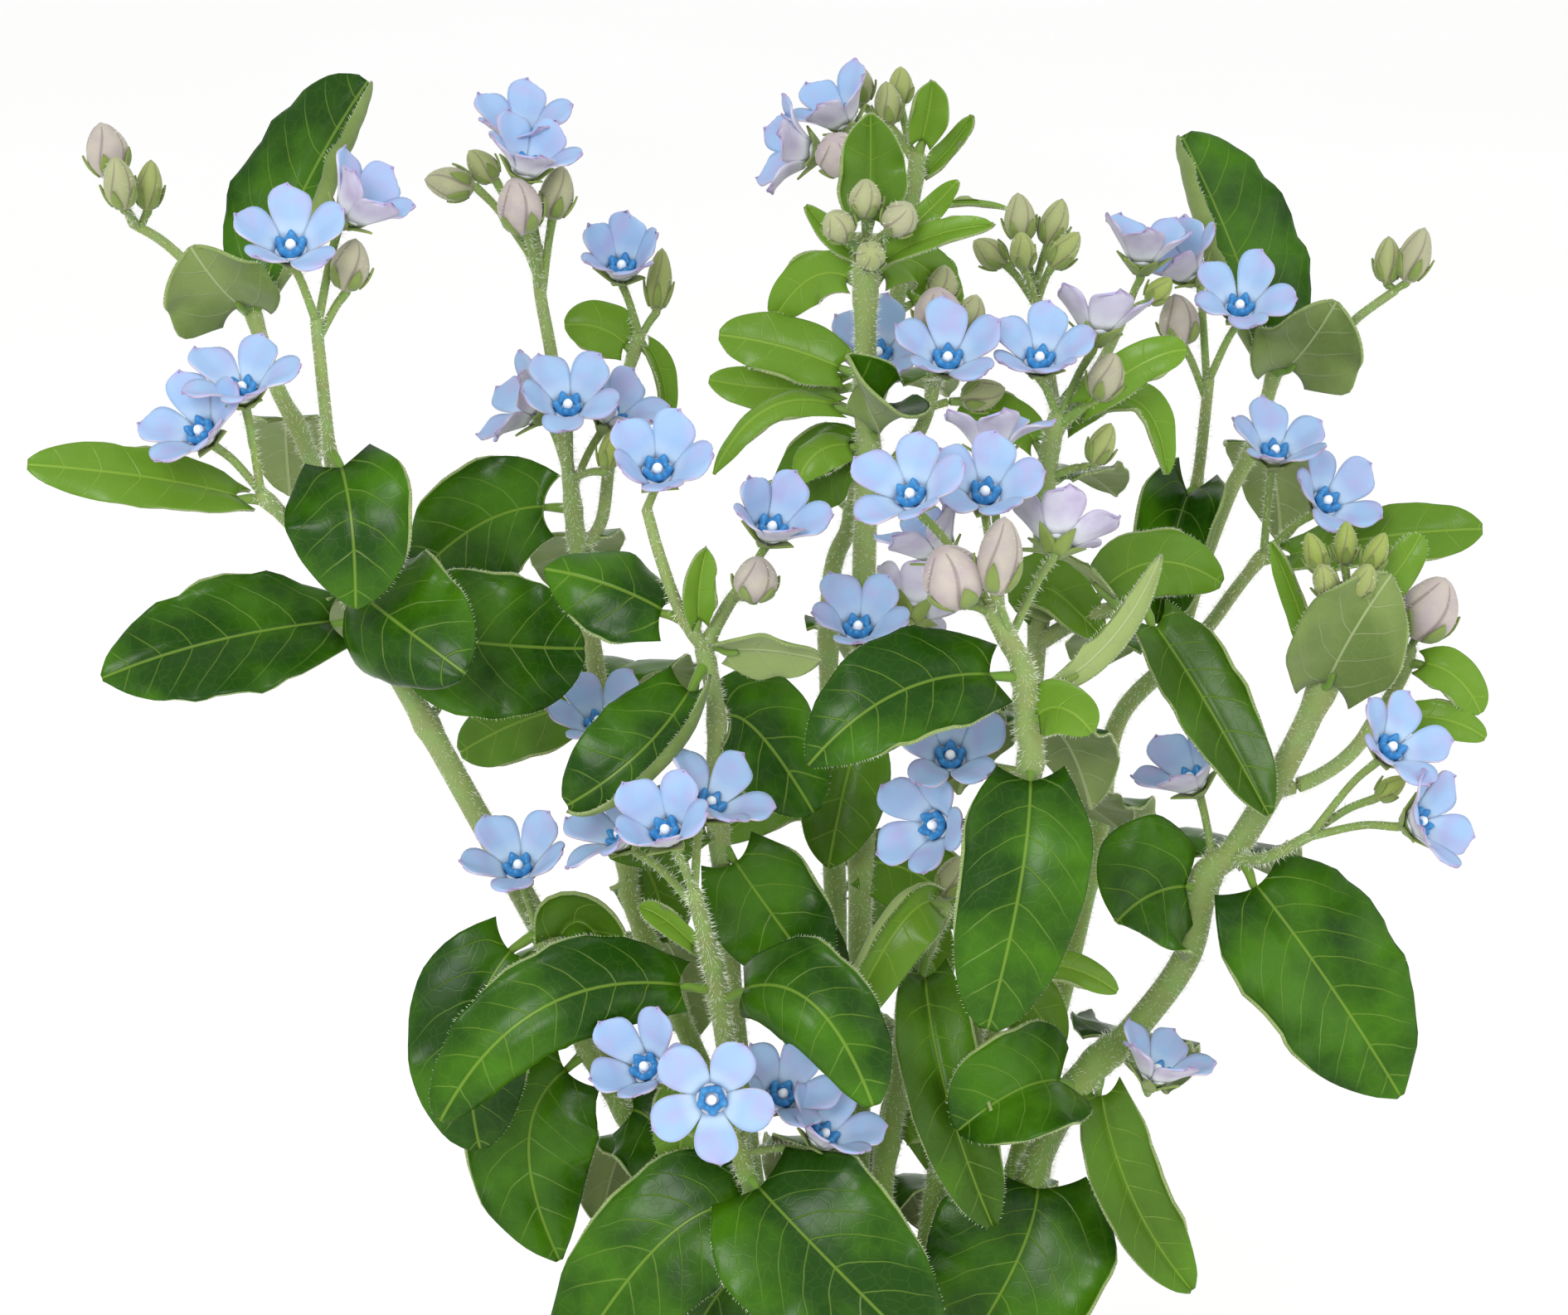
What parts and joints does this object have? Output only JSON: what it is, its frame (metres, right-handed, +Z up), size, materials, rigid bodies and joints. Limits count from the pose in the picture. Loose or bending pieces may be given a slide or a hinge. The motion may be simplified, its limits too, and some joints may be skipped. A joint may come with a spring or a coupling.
{
  "type": "potted flowering plant",
  "caption": "Potted tweedia: forked hairy stems with opposite heart-based leaves, plump buds and loose clusters of five-petalled sky-blue flowers, growing from soil in a plain clay pot",
  "frame": {"origin": "middle of the pot's underside, on the surface that the pot stands on", "axes": "+Z up along the pot's axis, -Y towards the picture's viewer, +X to the viewer's right"},
  "size_m": [0.2717, 0.1754, 0.3864],
  "materials": {
    "terracotta": "matte",
    "soil": "matte",
    "foliage": "satin",
    "petal": "matte"
  },
  "bodies": {
    "root": {"pot": "terracotta", "soil": "soil", "stem_left": "foliage", "stem_left_inner": "foliage", "stem_centre_left": "foliage", "stem_centre": "foliage", "stem_centre_back": "foliage", "stem_centre_right": "foliage", "stem_right_inner": "foliage", "stem_right_back": "foliage", "stem_right": "foliage", "stem_low_right": "foliage", "stem_low_left": "foliage", "stem_low_front": "foliage", "stem_low_far_left": "foliage", "bloom_01": "petal", "bloom_02": "petal", "bloom_03": "petal", "bloom_04": "petal", "bloom_05": "petal", "bloom_06": "petal", "bloom_07": "petal", "bloom_08": "petal", "bloom_09": "petal", "bloom_10": "petal", "bloom_11": "petal", "bloom_12": "petal", "bloom_13": "petal", "bloom_14": "petal", "bloom_15": "petal", "bloom_16": "petal", "bloom_17": "petal", "bloom_18": "petal", "bloom_19": "petal", "bloom_20": "petal", "bloom_21": "petal", "bloom_22": "petal", "bloom_23": "petal", "bloom_24": "petal", "bloom_25": "petal", "bloom_26": "petal", "bloom_27": "petal", "bloom_28": "petal", "bloom_29": "petal", "bloom_30": "petal", "bloom_31": "petal", "bloom_32": "petal", "bloom_33": "petal", "bloom_34": "petal", "bloom_35": "petal", "bloom_36": "petal", "bloom_37": "petal", "bloom_38": "petal"}
  },
  "joints": []
}
